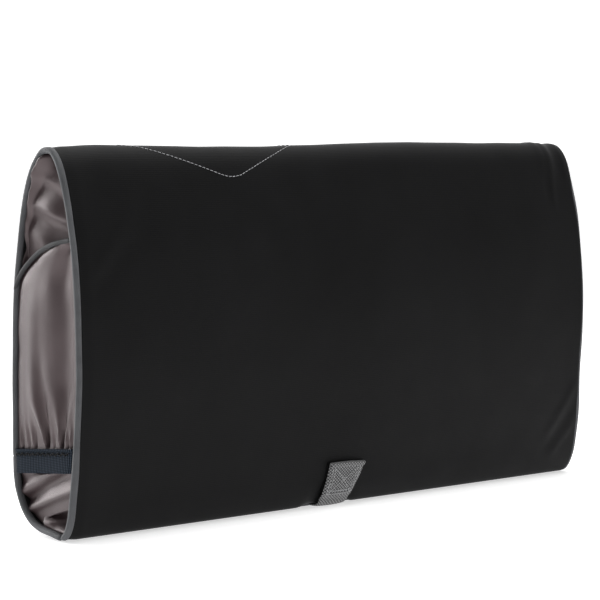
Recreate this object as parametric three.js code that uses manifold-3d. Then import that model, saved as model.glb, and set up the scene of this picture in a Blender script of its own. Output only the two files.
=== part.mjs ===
// Changing bag: a padded wrap-around shell that stands on its own folded flap,
// with a gathered arm sleeve stowed flat against each end and a light-tight
// compartment inside, closed by two zips under the flap.
// Millimetres, X along the bag, front towards -Y, +Z up. The origin is on the
// surface that the bag stands on, under the middle of its bounding box.

import * as THREE from 'three';
import { mergeVertices } from 'three/addons/utils/BufferGeometryUtils.js';
import Module from 'manifold-3d';

const wasm = await Module();
wasm.setup();

// ---- driving dimensions ----
const LENGTH = 455;
const HALF = LENGTH / 2;
const CLEAR = 0.3;
const FABRIC = 1;
const FOAM = 3;
const LINING = 0.8;
const BINDING = 4;

// Outer face of the shell, from the front hem over the ridge to the back fold.
const SHELL_OUTLINE = [
  [-17.5, 0], [-23, 5.6], [-27.5, 19.6], [-32, 48], [-35.2, 85], [-36, 112], [-34.6, 148],
  [-30.4, 184], [-24, 210], [-17, 228], [-9, 237.6], [-1.5, 240], [7, 236.8], [16, 225],
  [24, 205], [30.6, 174], [34.6, 140], [36, 104], [35.9, 68], [35.4, 36],
];
// Outer face of the flap, from the back fold down and forward to its flat foot.
const FLAP_OUTLINE = [[35.1, 34.4], [33.2, 26.5], [28, 14.5], [21.5, 5], [14, 0]];
const FLAP_FRONT = -9.6;
const FLAP_HEM = 3;

// Depths of the layers below the outer face.
const FOAM_IN = FABRIC + CLEAR;
const LINING_IN = FOAM_IN + FOAM + CLEAR;
const WALL = LINING_IN + LINING;
const BINDING_IN = WALL + CLEAR;
const BAND_END = HALF - BINDING - CLEAR;

// End gusset, with the arm hole that leads into the compartment.
const GUSSET_X = 213.5;
const GUSSET = 1;
const GUSSET_EDGE = WALL + 0.9;
const ARM_HOLE = { y: 18, low: 118, high: 166, corner: 10 };
const COLLAR = 1;

// Arm sleeve, stowed flat between the end gusset and the bag's end plane.
const SLEEVE_OUT = 226;
const SLEEVE_DEPTH = 11;
const SLEEVE_TOP = 137.2;
const SLEEVE_END = 12;
const SLEEVE_WALL = 0.8;
const SLEEVE_SIDE = 1.3;
const SLEEVE_ROUND = 3;
const CUFF_LOW = 43.5;
const CUFF_HIGH = 59.5;
const ELASTIC = 1.2;

// Piped arch over the sleeve root, high at the front and falling to the back.
const ARCH = [
  [-21.5, 183.5], [-13, 181.4], [-3, 177.2], [7, 172], [15.5, 166], [21.6, 159],
  [25, 151], [26, 144], [26.1, 138.2],
];
const PIPING_RADIUS = 1.6;
const ROOT_LOW = 137.6;
const ROOT_WALL = 1;

// Blackout compartment inside the shell.
const LINER_IN = WALL + 1.8;
const LINER = 0.8;
const LINER_HALF = 205;
const LINER_MOUTH = 52;

// Two zips, one above the other, left open by the width of the slit.
const OUTER_ZIP_Z = 31;
const INNER_ZIP_Z = 58;
const ZIP_HALF = 204;
const ZIP_SLIT = 6;
const TAPE = 1;
const TOOTH_DEPTH = 2.4;
const TOOTH_ROOT = 0.9;
const TOOTH_HEIGHT = 1.8;
const TOOTH_PITCH = 14;
const SLIDER_X = -190;
const SLIDER_LENGTH = 10;
const SLIDER_WIDTH = 13;
const SLIDER_PLATE = 1.3;
const PULLER_DROP = 5.3;
const PULLER_LENGTH = 13;
const PULLER_WIDTH = 4;
const PULLER_THICK = 3;

// Webbing tab, sewn to the flap's hem, that leans to the right as it rises.
const TAB_WIDTH = 30;
const TAB_THICK = 1.2;
const TAB_FOOT_X = -11;
const TAB_HEAD_X = -4.6;
const TAB_HEIGHT = 31;
const LOOP_PATCH = 0.6;
const HOOK_PATCH = 0.6;
const PATCH_LOW = 13;
const PATCH_WIDTH = 24;
const FOOT_Z = 0.95;
const TAB_FOLD_Y = -20;
const TAB_ARCH_HEIGHT = 2;

// ---- materials ----
const material = (color, roughness, metalness = 0) =>
  new THREE.MeshStandardMaterial({ color, roughness, metalness });
const blackFabric = material(0x202022, 0.75);
const foamGrey = material(0x8c8c88, 0.9);
const liningBlack = material(0x18181a, 0.8);
const bindingGrey = material(0x747678, 0.7);
const satin = material(0x8a7c7e, 0.35);
const blackout = material(0x0e0e10, 0.55);
const elasticNavy = material(0x2d343e, 0.7);
const webbingGrey = material(0x707070, 0.8);
const hookBlack = material(0x242426, 0.95);
const zipBlack = material(0x1b1b1d, 0.6);
const zipMetal = material(0xb0b0b2, 0.3, 0.9);

const bag = new THREE.Group();

function add(name, geometry, mat) {
  const mesh = new THREE.Mesh(geometry, mat);
  mesh.name = name;
  bag.add(mesh);
  return mesh;
}

// ---- outline helpers, all in the (y, z) plane ----
function spline(points, divisions) {
  const curve = new THREE.SplineCurve(points.map(([y, z]) => new THREE.Vector2(y, z)));
  return curve.getSpacedPoints(divisions);
}

// Moves an outline sideways. Positive distances go to the right of its travel.
function offset(points, distance) {
  return points.map((p, i) => {
    const before = points[Math.max(i - 1, 0)];
    const after = points[Math.min(i + 1, points.length - 1)];
    const along = after.clone().sub(before).normalize();
    return new THREE.Vector2(p.x + along.y * distance, p.y - along.x * distance);
  });
}

function yAt(points, z) {
  for (let i = 1; i < points.length; i += 1) {
    const a = points[i - 1];
    const b = points[i];
    if ((a.y - z) * (b.y - z) <= 0 && a.y !== b.y) {
      return a.x + ((b.x - a.x) * (z - a.y)) / (b.y - a.y);
    }
  }
  return points[points.length - 1].x;
}

const shellPath = spline(SHELL_OUTLINE, 60);
const flapCurve = spline(FLAP_OUTLINE, 16);
const flapPath = [...flapCurve, new THREE.Vector2(FLAP_FRONT, 0)];
const ridge = shellPath.reduce((best, p, i) => (p.y > shellPath[best].y ? i : best), 0);
const frontHalf = shellPath.slice(0, ridge + 1);
const backHalf = shellPath.slice(ridge);

const frontInside = (z, depth) => yAt(offset(frontHalf, depth), z);
function backInside(z, depth) {
  const onShell = z > SHELL_OUTLINE[SHELL_OUTLINE.length - 1][1];
  return yAt(offset(onShell ? backHalf : flapPath, depth), z);
}

// ---- solid helpers ----
// Extrudes a (y, z) outline along X from x0 to x1.
function extrude(points, x0, x1, holes = []) {
  const shape = new THREE.Shape(points);
  holes.forEach((hole) => shape.holes.push(new THREE.Path(hole)));
  const geometry = new THREE.ExtrudeGeometry(shape, { depth: x1 - x0, bevelEnabled: false });
  const turn = new THREE.Matrix4().makeBasis(
    new THREE.Vector3(0, 1, 0),
    new THREE.Vector3(0, 0, 1),
    new THREE.Vector3(1, 0, 0),
  );
  return geometry.applyMatrix4(turn).translate(x0, 0, 0);
}

// Extrudes an (x, y) outline upwards from z0 to z1.
function plate(points, z0, z1) {
  const shape = new THREE.Shape(points.map(([x, y]) => new THREE.Vector2(x, y)));
  return new THREE.ExtrudeGeometry(shape, { depth: z1 - z0, bevelEnabled: false }).translate(0, 0, z0);
}

function box(low, high) {
  const size = high.map((value, i) => value - low[i]);
  const middle = high.map((value, i) => (value + low[i]) / 2);
  return new THREE.BoxGeometry(...size).translate(...middle);
}

function layer(points, near, far) {
  return [...offset(points, near), ...offset(points, far).reverse()];
}

function roundedRect(a0, a1, b0, b1, radius, steps = 4) {
  const corners = [[a1, b1, 0], [a0, b1, 1], [a0, b0, 2], [a1, b0, 3]];
  return corners.flatMap(([a, b, quarter]) => {
    const ca = a === a1 ? a1 - radius : a0 + radius;
    const cb = b === b1 ? b1 - radius : b0 + radius;
    return Array.from({ length: steps + 1 }, (_, i) => {
      const angle = (quarter + i / steps) * (Math.PI / 2);
      return new THREE.Vector2(ca + radius * Math.cos(angle), cb + radius * Math.sin(angle));
    });
  });
}

// Skins rings of equal length into a closed solid, a tube where inner rings are given.
function skin(outer, inner = null) {
  const count = outer[0].length;
  const rings = inner ? [...outer, ...inner.slice().reverse()] : outer;
  const position = rings.flat().flatMap((p) => [p.x, p.y, p.z]);
  const faces = [];
  const joinRings = (a, b) => {
    for (let i = 0; i < count; i += 1) {
      const j = (i + 1) % count;
      faces.push(a * count + i, a * count + j, b * count + j);
      faces.push(a * count + i, b * count + j, b * count + i);
    }
  };
  for (let r = 1; r < rings.length; r += 1) joinRings(r - 1, r);
  if (inner) {
    joinRings(rings.length - 1, 0);
  } else {
    const last = (rings.length - 1) * count;
    for (let i = 1; i < count - 1; i += 1) {
      faces.push(0, i + 1, i);
      faces.push(last, last + i, last + i + 1);
    }
  }
  const geometry = new THREE.BufferGeometry();
  geometry.setAttribute('position', new THREE.Float32BufferAttribute(position, 3));
  geometry.setIndex(faces);
  return signedVolume(geometry) < 0 ? flip(geometry) : geometry;
}

function signedVolume(geometry) {
  const p = geometry.getAttribute('position');
  const index = geometry.getIndex();
  const [a, b, c] = [0, 1, 2].map(() => new THREE.Vector3());
  let sum = 0;
  for (let i = 0; i < index.count; i += 3) {
    a.fromBufferAttribute(p, index.getX(i));
    b.fromBufferAttribute(p, index.getX(i + 1));
    c.fromBufferAttribute(p, index.getX(i + 2));
    sum += a.dot(b.cross(c));
  }
  return sum;
}

function flip(geometry) {
  const index = geometry.getIndex();
  for (let i = 0; i < index.count; i += 3) {
    const kept = index.getX(i);
    index.setX(i, index.getX(i + 1));
    index.setX(i + 1, kept);
  }
  return geometry;
}

function welded(geometry) {
  const copy = geometry.clone();
  copy.deleteAttribute('normal');
  copy.deleteAttribute('uv');
  return mergeVertices(copy, 1e-4);
}

function mirrored(geometry) {
  return flip(welded(geometry).scale(-1, 1, 1));
}

function subtract(from, tool) {
  const [a, b] = [from, tool].map((geometry) => {
    const g = welded(geometry);
    return new wasm.Manifold(new wasm.Mesh({
      numProp: 3,
      vertProperties: new Float32Array(g.getAttribute('position').array),
      triVerts: new Uint32Array(g.getIndex().array),
    }));
  });
  const cut = a.subtract(b).getMesh();
  const geometry = new THREE.BufferGeometry();
  geometry.setAttribute('position', new THREE.Float32BufferAttribute(cut.vertProperties, 3));
  geometry.setIndex(Array.from(cut.triVerts));
  return geometry;
}

// Adds a left piece and its mirror image on the right.
function addPair(name, geometry, mat) {
  add(`left_${name}`, geometry, mat);
  add(`right_${name}`, mirrored(geometry), mat);
}

// ---- padded shell and flap ----
// The shell's hem touches the floor, and arches over the tab where it comes out from under it.
const tabArch = box(
  [TAB_FOOT_X - TAB_WIDTH / 2 - 2, TAB_FOLD_Y - 2, -1],
  [TAB_FOOT_X + TAB_WIDTH / 2 + 2, FLAP_FRONT - FLAP_HEM, TAB_ARCH_HEIGHT],
);

function buildWall(prefix, path) {
  const strip = (near, far) => {
    const whole = extrude(layer(path, near, far), -BAND_END, BAND_END);
    return path === shellPath ? subtract(whole, tabArch) : whole;
  };
  add(`${prefix}_outer`, strip(0, FABRIC), blackFabric);
  add(`${prefix}_foam`, strip(FOAM_IN, FOAM_IN + FOAM), foamGrey);
  add(`${prefix}_lining`, extrude(layer(path, LINING_IN, WALL), -BAND_END, BAND_END), liningBlack);
  const binding = extrude(layer(path, 0, BINDING_IN), -HALF, -HALF + BINDING);
  addPair(`${prefix}_binding`, binding, bindingGrey);
}

function buildFlapHem() {
  const front = FLAP_FRONT - CLEAR;
  const hem = box([-HALF, front - FLAP_HEM, 0], [HALF, front, BINDING_IN]);
  add('flap_hem_binding', hem, bindingGrey);
}

// ---- end gussets, collars and sleeves ----
function buildGussets() {
  const aboveHem = (p) => p.y > BINDING_IN + CLEAR;
  const around = [
    ...offset(shellPath, GUSSET_EDGE).filter(aboveHem),
    ...offset(flapPath, GUSSET_EDGE),
  ];
  const hole = roundedRect(-ARM_HOLE.y, ARM_HOLE.y, ARM_HOLE.low, ARM_HOLE.high, ARM_HOLE.corner);
  addPair('gusset', extrude(around, -GUSSET_X, -GUSSET_X + GUSSET, [hole]), satin);

  const collar = roundedRect(
    -ARM_HOLE.y - COLLAR,
    ARM_HOLE.y + COLLAR,
    ARM_HOLE.low - COLLAR,
    ARM_HOLE.high + COLLAR,
    ARM_HOLE.corner + COLLAR,
  );
  const start = -GUSSET_X + GUSSET + CLEAR;
  const end = -LINER_HALF - CLEAR - LINER - CLEAR;
  addPair('arm_collar', extrude(collar, start, end, [hole]), blackout);
}

function buildSleeveRoots() {
  const arch = spline(ARCH, 20);
  const archInset = PIPING_RADIUS + 0.4;
  const cupShape = (wall) => {
    const top = offset(arch, archInset + wall);
    const low = ROOT_LOW - wall;
    const front = (z) => frontInside(z, BINDING_IN) + 1 + wall;
    const edge = top.filter((p) => p.x > front(p.y) + 1 && p.y > low + 0.5);
    const peak = edge[0].y + 0.4;
    const rise = [0, 0.35, 0.7, 1].map((t) => low + (peak - low) * t);
    const side = rise.map((z) => new THREE.Vector2(front(z), z));
    return [...side, ...edge, new THREE.Vector2(top[top.length - 1].x, low)];
  };
  const inner = -SLEEVE_OUT + SLEEVE_DEPTH + 1;
  const block = extrude(cupShape(0), -SLEEVE_OUT, inner);
  const hollow = extrude(cupShape(ROOT_WALL), -SLEEVE_OUT + ROOT_WALL, inner + 1);
  addPair('sleeve_root', subtract(block, hollow), satin);

  const x = -SLEEVE_OUT + PIPING_RADIUS;
  const route = new THREE.CatmullRomCurve3(ARCH.map(([y, z]) => new THREE.Vector3(x, y, z)));
  const circle = new THREE.Shape(Array.from({ length: 8 }, (_, i) => {
    const angle = (i / 8) * 2 * Math.PI;
    return new THREE.Vector2(PIPING_RADIUS * Math.cos(angle), PIPING_RADIUS * Math.sin(angle));
  }));
  const piping = new THREE.ExtrudeGeometry(circle, { extrudePath: route, steps: 20, bevelEnabled: false });
  addPair('sleeve_piping', piping, bindingGrey);
}

// One horizontal ring of the sleeve at height z, pulled in all round by inset.
function sleeveRing(z, inset) {
  const front = frontInside(z, BINDING_IN) + SLEEVE_SIDE + inset;
  const back = backInside(z, BINDING_IN) - SLEEVE_SIDE - inset;
  const out = -SLEEVE_OUT + inset;
  const inn = -SLEEVE_OUT + SLEEVE_DEPTH - inset;
  const radius = Math.max(SLEEVE_ROUND - inset, 0.6);
  return roundedRect(out, inn, front, back, radius).map((p) => new THREE.Vector3(p.x, p.y, z));
}

function buildSleeves() {
  const neck = ELASTIC + CLEAR;
  const levels = [
    [SLEEVE_TOP, 0], [112, 0], [88, 0], [CUFF_HIGH + 8, 0], [CUFF_HIGH + 1, neck],
    [CUFF_LOW - 1, neck], [CUFF_LOW - 7, 0], [24, 0], [SLEEVE_END, 0],
  ];
  const outer = levels.map(([z, inset]) => sleeveRing(z, inset));
  const inner = levels.map(([z, inset]) => sleeveRing(z, inset + SLEEVE_WALL));
  addPair('sleeve', skin(outer, inner), satin);

  const heights = [CUFF_HIGH, (CUFF_HIGH + CUFF_LOW) / 2, CUFF_LOW];
  const bandOut = heights.map((z) => sleeveRing(z, 0));
  const bandIn = heights.map((z) => sleeveRing(z, ELASTIC));
  addPair('cuff_elastic', skin(bandOut, bandIn), elasticNavy);
}

// ---- blackout compartment ----
function buildLiner() {
  const inside = offset(shellPath, LINER_IN).filter((p) => p.y > LINER_MOUTH);
  add('blackout_liner', extrude(layer(inside, 0, LINER), -LINER_HALF, LINER_HALF), blackout);
  const hole = roundedRect(-ARM_HOLE.y, ARM_HOLE.y, ARM_HOLE.low, ARM_HOLE.high, ARM_HOLE.corner);
  const end = -LINER_HALF - CLEAR;
  addPair('blackout_end', extrude(inside, end - LINER, end, [hole]), blackout);
}

// ---- zips ----
function toothedStrip(side) {
  const root = side * (ZIP_SLIT / 2 + TOOTH_DEPTH);
  const spine = root - side * TOOTH_ROOT;
  const tip = side * (ZIP_SLIT / 2);
  const points = [[-ZIP_HALF, root], [-ZIP_HALF, spine]];
  const count = Math.floor((2 * ZIP_HALF - TOOTH_PITCH) / TOOTH_PITCH);
  for (let i = 0; i <= count; i += 1) {
    const x = -ZIP_HALF + TOOTH_PITCH * (i + 0.25);
    const next = x + TOOTH_PITCH / 2;
    points.push([x, spine], [x, tip], [next, tip], [next, spine]);
  }
  points.push([ZIP_HALF, spine], [ZIP_HALF, root]);
  return side > 0 ? points : points.reverse();
}

function buildZip(prefix, z, depth) {
  const tapeEdge = ZIP_SLIT / 2 + TOOTH_DEPTH + CLEAR;
  const front = frontInside(z, depth) + CLEAR;
  const back = backInside(z, depth) - CLEAR;
  const low = z - TAPE / 2;
  const high = z + TAPE / 2;
  add(`${prefix}_zip_tape_front`, box([-ZIP_HALF, front, low], [ZIP_HALF, -tapeEdge, high]), zipBlack);
  add(`${prefix}_zip_tape_back`, box([-ZIP_HALF, tapeEdge, low], [ZIP_HALF, back, high]), zipBlack);
  const half = TOOTH_HEIGHT / 2;
  add(`${prefix}_zip_teeth_front`, plate(toothedStrip(-1), z - half, z + half), zipMetal);
  add(`${prefix}_zip_teeth_back`, plate(toothedStrip(1), z - half, z + half), zipMetal);

  const inside = half + 0.4;
  const face = inside + SLIDER_PLATE;
  const wide = SLIDER_WIDTH / 2;
  const post = ZIP_SLIT / 2 - 0.5;
  const lugIn = PULLER_THICK / 2 + 0.4;
  const lugOut = lugIn + 1.1;
  const lugEnd = PULLER_DROP + 1.6;
  const quarter = [
    [lugIn, -face], [lugIn, -lugEnd], [lugOut, -lugEnd], [lugOut, -face], [wide, -face],
    [wide, -inside], [post, -inside], [post, inside], [wide, inside], [wide, face],
  ];
  const mirrorSide = quarter.map(([y, h]) => [-y, h]).reverse();
  const section = [...quarter, ...mirrorSide].map(([y, h]) => new THREE.Vector2(y, z + h));
  const slider = extrude(section, SLIDER_X - SLIDER_LENGTH / 2, SLIDER_X + SLIDER_LENGTH / 2);
  add(`${prefix}_zip_slider`, slider, zipMetal);

  const pivot = z - PULLER_DROP;
  const radius = PULLER_WIDTH / 2;
  const arc = (centre, from) => Array.from({ length: 7 }, (_, i) => {
    const angle = from + (i / 6) * Math.PI;
    return new THREE.Vector2(SLIDER_X + radius * Math.cos(angle), centre + radius * Math.sin(angle));
  });
  const outline = [...arc(pivot, 0), ...arc(pivot - PULLER_LENGTH + radius, Math.PI)];
  const shape = new THREE.Shape(outline);
  const puller = new THREE.ExtrudeGeometry(shape, { depth: PULLER_THICK, bevelEnabled: false });
  puller.rotateX(Math.PI / 2).translate(0, PULLER_THICK / 2, 0);
  add(`${prefix}_zip_puller`, puller, zipMetal);
}

// ---- closure tab ----
const lean = (z) => TAB_FOOT_X + ((TAB_HEAD_X - TAB_FOOT_X) * z) / TAB_HEIGHT;

// A strip of constant width that follows a (y, z) path and leans along X.
function ribbon(path, near, far, width) {
  const a = offset(path, near);
  const b = offset(path, far);
  const rings = path.map((p, i) => {
    const x = lean(p.y);
    return [
      new THREE.Vector3(x - width / 2, a[i].x, a[i].y),
      new THREE.Vector3(x + width / 2, a[i].x, a[i].y),
      new THREE.Vector3(x + width / 2, b[i].x, b[i].y),
      new THREE.Vector3(x - width / 2, b[i].x, b[i].y),
    ];
  });
  return skin(rings);
}

function buildTab() {
  const loopOut = -LOOP_PATCH - CLEAR;
  const hookIn = loopOut - CLEAR;
  const tabIn = hookIn - HOOK_PATCH - CLEAR;
  const onPanel = frontHalf.filter((p) => p.y > PATCH_LOW && p.y < TAB_HEIGHT);
  add('loop_patch', ribbon(onPanel, -CLEAR, loopOut, PATCH_WIDTH), hookBlack);
  add('hook_patch', ribbon(onPanel, hookIn, hookIn - HOOK_PATCH, PATCH_WIDTH), hookBlack);

  const sewn = FLAP_FRONT - FLAP_HEM - 2 * CLEAR;
  const underHem = [[sewn, FOOT_Z], [-17, FOOT_Z], [TAB_FOLD_Y, 1.3]];
  const upFront = [[TAB_FOLD_Y - CLEAR - 0.3, 1.55], [-22.4, 2.9]];
  const toPath = (points) => points.map(([y, z]) => new THREE.Vector2(y, z));
  const half = TAB_THICK / 2;
  add('tab_anchor', ribbon(toPath(underHem), half, -half, TAB_WIDTH), webbingGrey);

  const rising = offset(frontHalf, tabIn - half).filter((p) => p.y > 6.5 && p.y < TAB_HEIGHT);
  add('closure_tab', ribbon([...toPath(upFront), ...rising], half, -half, TAB_WIDTH), webbingGrey);
}

buildWall('shell', shellPath);
buildWall('flap', flapPath);
buildFlapHem();
buildGussets();
buildSleeveRoots();
buildSleeves();
buildLiner();
buildZip('outer', OUTER_ZIP_Z, WALL);
buildZip('inner', INNER_ZIP_Z, LINER_IN + LINER);
buildTab();

export default bag;
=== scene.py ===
"""Changing bag: padded wrap-around shell on a folded flap, with a gathered satin sleeve in each end."""

import math

import bmesh
import bpy
import numpy as np
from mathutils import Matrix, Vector, noise


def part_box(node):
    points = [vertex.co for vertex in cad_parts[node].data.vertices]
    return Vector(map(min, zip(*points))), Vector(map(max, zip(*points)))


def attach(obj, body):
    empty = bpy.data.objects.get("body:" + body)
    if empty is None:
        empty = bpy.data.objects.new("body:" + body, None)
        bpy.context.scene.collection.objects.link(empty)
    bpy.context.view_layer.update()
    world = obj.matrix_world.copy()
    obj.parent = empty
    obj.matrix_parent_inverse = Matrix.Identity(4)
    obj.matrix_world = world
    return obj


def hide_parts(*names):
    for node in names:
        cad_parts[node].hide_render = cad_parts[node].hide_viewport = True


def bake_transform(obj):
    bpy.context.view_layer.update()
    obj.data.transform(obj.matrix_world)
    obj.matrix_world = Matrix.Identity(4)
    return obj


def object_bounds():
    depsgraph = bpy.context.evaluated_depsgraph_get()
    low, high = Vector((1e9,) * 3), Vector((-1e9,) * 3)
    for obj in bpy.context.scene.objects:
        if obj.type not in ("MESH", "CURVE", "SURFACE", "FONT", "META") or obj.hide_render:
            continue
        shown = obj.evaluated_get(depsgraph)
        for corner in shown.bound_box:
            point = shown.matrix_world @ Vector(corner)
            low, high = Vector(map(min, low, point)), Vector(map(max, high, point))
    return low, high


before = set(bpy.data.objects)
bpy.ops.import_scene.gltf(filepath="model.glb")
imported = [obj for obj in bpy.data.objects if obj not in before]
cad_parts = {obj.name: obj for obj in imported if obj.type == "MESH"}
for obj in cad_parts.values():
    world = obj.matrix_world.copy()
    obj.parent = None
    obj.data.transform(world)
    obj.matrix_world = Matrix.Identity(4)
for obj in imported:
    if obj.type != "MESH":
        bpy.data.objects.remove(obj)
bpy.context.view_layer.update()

# ---------------- sizes, in millimetres
MM = 0.001
# Scale of a wave texture that makes one band to the unit.
WAVE_SCALE = 0.314159
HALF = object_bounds()[1].x / MM
# The outer face in (y, z): up the front from the hem, over the ridge and down the back to the flap.
SHELL_OUTLINE = [
    (-15, 0.2), (-17.6, 0.5), (-20.8, 2.6), (-24.2, 7.6), (-26.8, 14.6), (-28.6, 24), (-32, 48),
    (-35.2, 85), (-36, 112), (-34.6, 148), (-30.4, 184), (-24, 210), (-17.2, 228.4), (-9.6, 238.2),
    (-2, 240), (5.5, 237.4), (15.6, 225), (24, 205), (30.6, 174), (34.6, 140), (36, 104),
    (35.9, 68), (35.4, 36),
]
FLAP_OUTLINE = [(35.1, 34.4), (33.2, 26.5), (27, 15.2), (18.4, 7.4), (9, 3), (0, 1), (-12.2, 0)]
# The flap takes over from the shell at this height.
FOLD_Z = 45.0
# Thickness of the padded wall, and the depth at which its inside is taken for fitting the ends.
WALL = 5.7
WALL_INSIDE = 4
# Radii of the rolled binding, along the bag and across it, and the depth of its centre.
ROLL = (2.1, 1.85)
ROLL_DEPTH = 2.05
# Planes of the satin end, as distances from the bag's middle.
GUSSET_X = 218.5
SLEEVE_BACK_X = 218.6
CUFF_X = 222.8
SLEEVE_HANG_X = 223.4
SLEEVE_X = 224.4
PIPING_X = 226.0
# The elastic's lower and upper edge, and its rise from front to back in mm per mm.
CUFF = (40.2, 55.4)
CUFF_TILT = -0.1
# Half width, bottom and top of the gusset's arm hole.
ARM_HOLE = (18, 118, 166)
# The piped arch over the sleeve's root in (y, z), from the front binding to the back one.
ARCH = [
    (-25.6, 184), (-20.7, 183.2), (-12, 181.6), (-3.4, 179.3), (3.8, 176.5), (10.6, 172.9),
    (16.8, 168.9), (22.1, 164.9), (26.4, 160.7), (29.9, 156), (32.4, 150),
]
PIPING = 1.5
# Nothing comes nearer the floor than this.
FLOOR_CLEAR = 0.05
# Thread is laid out in steps of this length.
THREAD_STEP = 0.25

SIDES = (("left", -1), ("right", 1))
TAU = 2 * math.pi


def unit_step(t):
    """A smooth rise from 0 to 1 while t goes from 0 to 1."""
    t = np.clip(t, 0, 1)
    return t * t * (3 - 2 * t)


def bump(t, centre, width):
    """A bell of height 1."""
    return np.exp(-(((t - centre) / width) ** 2))


# ---------------- curves
def unit(vectors):
    """Vectors scaled to length 1."""
    return vectors / np.linalg.norm(vectors, axis=-1, keepdims=True)


def rounded_ends(t, power):
    """1 over most of t from 0 to 1, falling round to 0 at both ends."""
    return np.sqrt(np.clip(1 - np.abs(2 * t - 1) ** power, 0, 1))


def arc_length(line):
    """Distance of each point from the line's start."""
    return np.r_[0, np.cumsum(np.linalg.norm(np.diff(line, axis=0), axis=1))]


def resampled(line, count):
    """Evenly spaced points on a polyline."""
    line = np.asarray(line, float)
    along = arc_length(line)
    at = np.linspace(0, along[-1], count)
    return np.stack([np.interp(at, along, line[:, k]) for k in range(line.shape[1])], 1)


def curve_through(points, count=None, step=2.0):
    """A smooth curve through the points, evenly spaced."""
    p = np.asarray(points, float)
    p = np.vstack([2 * p[0] - p[1], p, 2 * p[-1] - p[-2]])
    t = np.linspace(0, 1, 24, endpoint=False)[:, None]
    parts = []
    for a, b, c, d in zip(p, p[1:], p[2:], p[3:]):
        linear = (c - a) * t
        square = (2 * a - 5 * b + 4 * c - d) * t**2
        cubic = (3 * b - a - 3 * c + d) * t**3
        parts.append(0.5 * (2 * b + linear + square + cubic))
    line = np.vstack([*parts, p[-2:-1]])
    if count is None:
        count = max(4, int(arc_length(line)[-1] / step) + 1)
    return resampled(line, count)


def inward(line):
    """Unit normals to the right of a (y, z) line's travel, which is the inside of the bag."""
    along = np.gradient(line, axis=0)
    return unit(np.stack([along[:, 1], -along[:, 0]], 1))


shell_line = curve_through(SHELL_OUTLINE, step=1.0)
ridge = int(np.argmax(shell_line[:, 1]))
flap_line = curve_through(FLAP_OUTLINE, step=1.0)
fold = ridge + int(np.argmin(abs(shell_line[ridge:, 1] - FOLD_Z)))
body_line = shell_line[: fold + 1]
front_half = shell_line[: ridge + 1]
back_half = np.vstack([shell_line[ridge:], flap_line])
inside_front = front_half + inward(front_half) * WALL_INSIDE
inside_back = (back_half + inward(back_half) * WALL_INSIDE)[::-1]


def front_y(z, depth):
    """Y of the front wall at height z, this far below its outer face."""
    return np.interp(z, inside_front[:, 1], inside_front[:, 0]) + depth - WALL_INSIDE


def back_y(z, depth):
    """Y of the back wall at height z, this far below its outer face."""
    return np.interp(z, inside_back[:, 1], inside_back[:, 0]) - depth + WALL_INSIDE


def over_front(z, clear):
    """Y of a sheet lying this far outside the front face."""
    outside = front_half - inward(front_half) * clear
    return np.interp(z, outside[:, 1], outside[:, 0])


# ---------------- meshes
def new_piece(name, points, faces, material, uv=None, smooth=True):
    """An object from points in millimetres. uv has one pair, in centimetres, for each point."""
    mesh = bpy.data.meshes.new(name)
    mesh.from_pydata((np.asarray(points, float) * MM).tolist(), [], faces)
    if uv is not None:
        layer = mesh.uv_layers.new(name="UVMap")
        corner = np.zeros(len(mesh.loops), int)
        mesh.loops.foreach_get("vertex_index", corner)
        layer.data.foreach_set("uv", np.asarray(uv, float)[corner].ravel())
    mesh.polygons.foreach_set("use_smooth", [smooth] * len(mesh.polygons))
    mesh.materials.append(material)
    mesh.validate()
    mesh.update()
    piece = bpy.data.objects.new(name, mesh)
    bpy.context.scene.collection.objects.link(piece)
    return piece


def quads(rows, columns, start=0, wrap=False, turn=False):
    """Faces of a grid of points whose first index is start."""
    i, j = np.meshgrid(np.arange(rows - 1), np.arange(columns if wrap else columns - 1), indexing="ij")
    k = (j + 1) % columns
    f = np.stack([i * columns + j, i * columns + k, (i + 1) * columns + k, (i + 1) * columns + j], -1)
    f = f.reshape(-1, 4) + start
    return (f[:, ::-1] if turn else f).tolist()


def offset_grid(x, line, normal, depth):
    """Points at x on a (y, z) line, moved by depth along its normals."""
    yz = line[:, None] + normal[:, None] * depth[..., None]
    return np.stack([x + 0 * depth, yz[..., 0], yz[..., 1]], -1)


def cloth_uv(x, line):
    """Texture coordinates in centimetres: across the line, and along it."""
    return np.stack(np.broadcast_arrays(x / 10, arc_length(line)[:, None] / 10), -1)


def slab(name, outer, inner, material, uv, ring=False):
    """A closed sheet between two grids (rows, columns, 3); as a ring, each row closes on itself."""
    rows, columns, _ = outer.shape
    size = rows * columns
    faces = quads(rows, columns, wrap=ring) + quads(rows, columns, start=size, wrap=ring, turn=True)
    index = np.arange(size).reshape(rows, columns)
    if ring:
        edges = [(np.append(row, row[0]), False) for row in (index[0], index[-1])]
    else:
        edges = [(index[0], True), (index[-1], False), (index[:, 0], False), (index[:, -1], True)]
    for edge, turn in edges:
        a, b = edge[:-1], edge[1:]
        side = np.stack([a, b, b + size, a + size], 1)
        faces += (side[:, ::-1] if turn else side).tolist()
    points = np.vstack([outer.reshape(-1, 3), inner.reshape(-1, 3)])
    flat = uv.reshape(-1, 2)
    return outward(new_piece(name, points, faces, material, np.vstack([flat, flat])))


def outward(piece):
    """Turns the faces of a closed mesh outwards."""
    mesh = bmesh.new()
    mesh.from_mesh(piece.data)
    bmesh.ops.recalc_face_normals(mesh, faces=mesh.faces)
    if mesh.calc_volume(signed=True) < 0:
        bmesh.ops.reverse_faces(mesh, faces=mesh.faces)
    mesh.to_mesh(piece.data)
    mesh.free()
    return piece


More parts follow.
